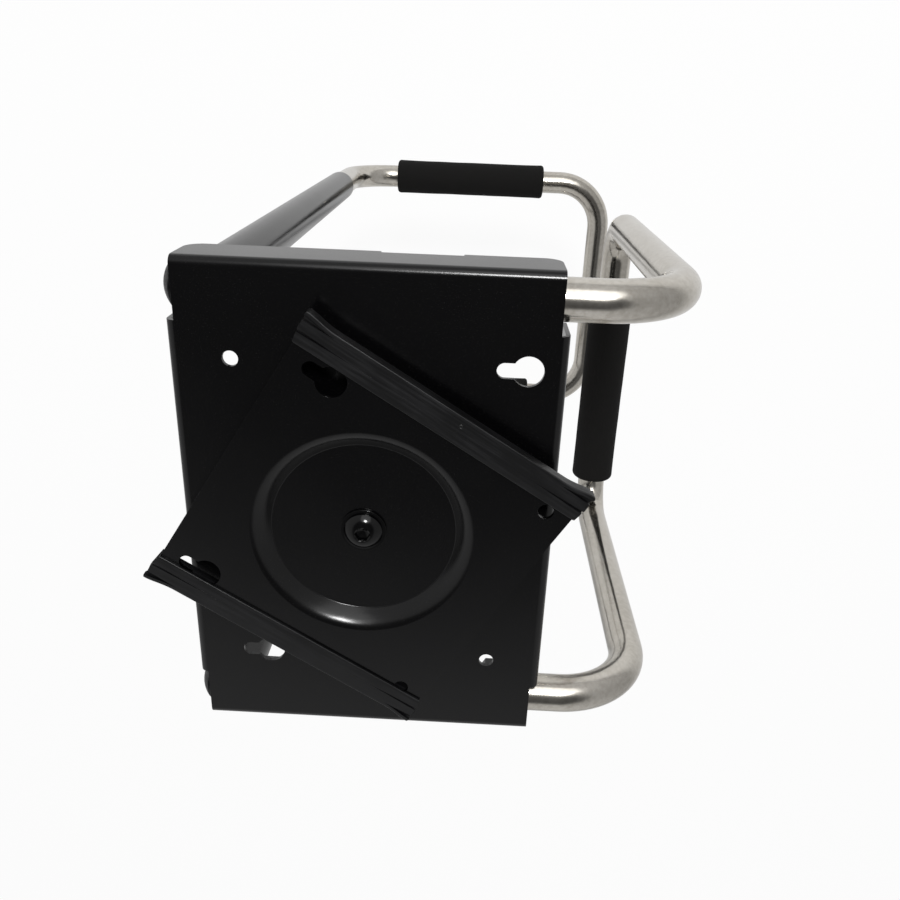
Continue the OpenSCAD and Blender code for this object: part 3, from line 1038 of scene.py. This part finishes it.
def makeGateMark(name, point, carrier, body, slotName):  # where the moulding was cut from its runner
    p = gateMark
    place, normal = placeThrough(surfaceTree(carrier), point)
    turn = normal.to_track_quat("Z", "Y").to_matrix().to_4x4()
    aroundScale, rowScale = p["roughScale"]
    rings = []
    for r, z in p["rows"]:
        ring = []
        for k in range(p["around"]):
            angle = 2 * math.pi * k / p["around"]
            sample = Vector((math.cos(angle) * aroundScale, math.sin(angle) * aroundScale, r * rowScale))
            rough = 1 + p["roughness"] * noise.noise(sample)
            local = Vector((
                math.cos(angle) * r * p["radius"] * rough,
                math.sin(angle) * r * p["radius"] * rough,
                z * p["height"],
            ))
            ring.append(place + turn @ local)
        rings.append(ring)
    return newPiece(name, sweptMesh(name, rings), body, slotName, sharpAngle=50)


nick = makeGateMark("glideNick", imagePoints["glideNick"], rearGlide, "desk_plate", "black_plastic")
print("small marks made")


studio = {
    "floorLevel": -0.6446,  # just under the cradle drawn right down
    "floorSide": 8.0,
    "floorCells": 12,
    "floorColour": colour(0.86, 0.86, 0.86),
    "ownGlow": 0.92,  # share of the floor that shows as plain white
    "keyPlace": (0.275, 1.414, 1.982),
    "keyAim": (0.0, 0.0, -0.05),
    "keySize": (0.52, 0.50),
    "keyPower": 44.0,
    "panelPlace": (0.33, 1.9, 1.75),  # a dim panel behind the lamp
    "panelSize": (2.0, 2.2),
    "panelPower": 15.0,
    # from the horizon to straight up
    "skyStops": (
        (0.0, 0.72),
        (0.35, 0.72),
        (0.6, 0.68),
        (0.76, 0.58),
        (0.83, 0.20),
        (0.9, 0.09),
        (1.0, 0.12),
    ),
    "sideStops": ((0.0, 0.85), (0.5, 1.0), (1.0, 0.6)),  # from -X to +X
}


def makeFloor():
    p = studio
    half, cells = p["floorSide"] / 2, p["floorCells"]
    mesh = bpy.data.meshes.new("studioFloor")
    working = bmesh.new()
    bmesh.ops.create_grid(working, x_segments=cells, y_segments=cells, size=half)
    bmesh.ops.translate(working, verts=working.verts, vec=(0, 0, p["floorLevel"]))
    working.to_mesh(mesh)
    working.free()
    floor = bpy.data.objects.new("studioFloor", mesh)
    bpy.context.scene.collection.objects.link(floor)
    material, paint = newFinish("paleFloor")
    seen = paint.node("ShaderNodeLightPath").other("Is Camera Ray")
    matt = paint.node("ShaderNodeBsdfDiffuse", None, {"Color": p["floorColour"]})
    glow = paint.node("ShaderNodeEmission", None, {"Color": colour(1, 1, 1), "Strength": 1.0})
    shader = paint.node("ShaderNodeMixShader", None, {0: seen * p["ownGlow"], 1: matt, 2: glow})
    paint.node("ShaderNodeOutputMaterial", None, {"Surface": shader})
    floor.data.materials.append(material)


def makeLamp(name, place, size, power):
    lampData = bpy.data.lights.new(name, "AREA")
    lampData.shape = "ELLIPSE"
    lampData.size, lampData.size_y = size
    lampData.energy = power
    lamp = bpy.data.objects.new(name, lampData)
    lamp.location = place
    away = Vector(place) - Vector(studio["keyAim"])
    lamp.rotation_euler = away.to_track_quat("Z", "Y").to_euler()
    bpy.context.scene.collection.objects.link(lamp)


def makeWorld():
    p = studio
    world = bpy.data.worlds.new("paleStudio")
    bpy.context.scene.world = world
    world.use_nodes = True
    paint = Paint(world.node_tree)
    way = paint.node("ShaderNodeTexCoord").other("Generated")
    parts = paint.node("ShaderNodeSeparateXYZ", None, {0: way})
    sky = paint.ramp(parts.other("Z"), *p["skyStops"])
    sides = paint.ramp(parts.other("X") * 0.5 + 0.5, *p["sideStops"])  # X runs from -1 to 1
    seen = paint.node("ShaderNodeLightPath").other("Is Camera Ray")
    level = (sky * sides).atLeast(seen)
    glow = paint.node("ShaderNodeBackground", None, {"Color": level, "Strength": 1.0})
    paint.node("ShaderNodeOutputWorld", None, {"Surface": glow})


makeFloor()
makeLamp("softbox", studio["keyPlace"], studio["keySize"], studio["keyPower"])
makeLamp("dimPanel", studio["panelPlace"], studio["panelSize"], studio["panelPower"])
makeWorld()
bpy.context.scene.view_settings.view_transform = "Standard"
print("studio made")


# how far each thing shows from its image point
def shownPieces():
    found = [thing for thing in nodes.values() if not thing.hide_render]
    grips = [rearGrip, frontGrip, loopGrip]
    return found + grips + [rearGlide, frontGlide, armWelds, legWelds, bolt, nick, crease]


def finishedPlaces(thing):
    depsgraph = bpy.context.evaluated_depsgraph_get()
    ready = thing.evaluated_get(depsgraph)
    mesh = ready.to_mesh()
    places = [thing.matrix_world @ v.co for v in mesh.vertices]
    ready.to_mesh_clear()
    return places


measured = {  # places in metres, each beside how far round it the vertices count
    "boltHead": ((0, 0, boltHead["seat"] + boltHead["height"]), 0.0105),
    "trayHoleRear": ((-0.0575, 0.0760, -0.01355), 0.0042),
    "trayHoleFront": ((0.0595, -0.0744, -0.01355), 0.0042),
    "plateHole": (onPlate(0.059, 0.0572, 0.0), 0.0042),
}
gripEndDepth = 0.0004


def middleOf(places):
    seen = [imagePlace(q) for q in places]
    xs, ys = [s[0] for s in seen], [s[1] for s in seen]
    return (min(xs) + max(xs)) / 2, (min(ys) + max(ys)) / 2


def nearShown(name, thing):  # the middle of what shows near a measured place
    near, reach = measured[name]
    return middleOf([q for q in finishedPlaces(thing) if (q - Vector(near)).length < reach])


def endShown(grip, axis, sign):  # the middle of a grip's end face
    places = finishedPlaces(grip)
    edge = max(sign * q[axis] for q in places)
    return middleOf([q for q in places if sign * q[axis] > edge - gripEndDepth])


def measurePoints():
    seen = [imagePlace(q) for thing in shownPieces() for q in finishedPlaces(thing)]
    xs, ys = [s[0] for s in seen], [s[1] for s in seen]
    glideSeen = [imagePlace(q) for q in finishedPlaces(rearGlide)]
    shown = {
        "left": (min(xs), None),
        "right": (max(xs), None),
        "top": (None, min(ys)),
        "bottom": (None, max(ys)),
        "boltHead": nearShown("boltHead", bolt),
        "trayHoleRear": nearShown("trayHoleRear", nodes["tray"]),
        "trayHoleFront": nearShown("trayHoleFront", nodes["tray"]),
        "plateHole": nearShown("plateHole", nodes["swivel_plate"]),
        "rearGripLeftEnd": endShown(rearGrip, 0, -1),
        "rearGripRightEnd": endShown(rearGrip, 0, 1),
        "loopGripEnd": endShown(loopGrip, 1, -1),
        "rearGlideRightEnd": max(glideSeen, key=lambda s: s[0]),
        "glideNick": middleOf(finishedPlaces(nick)),
    }
    for name, target in imagePoints.items():
        x, y = shown[name]
        if name in ("left", "right"):
            round(x - target, 2)
        elif name in ("top", "bottom"):
            round(y - target, 2)
        else:
            round(x - target[0], 2)
            round(y - target[1], 2)


bpy.context.view_layer.update()
measurePoints()
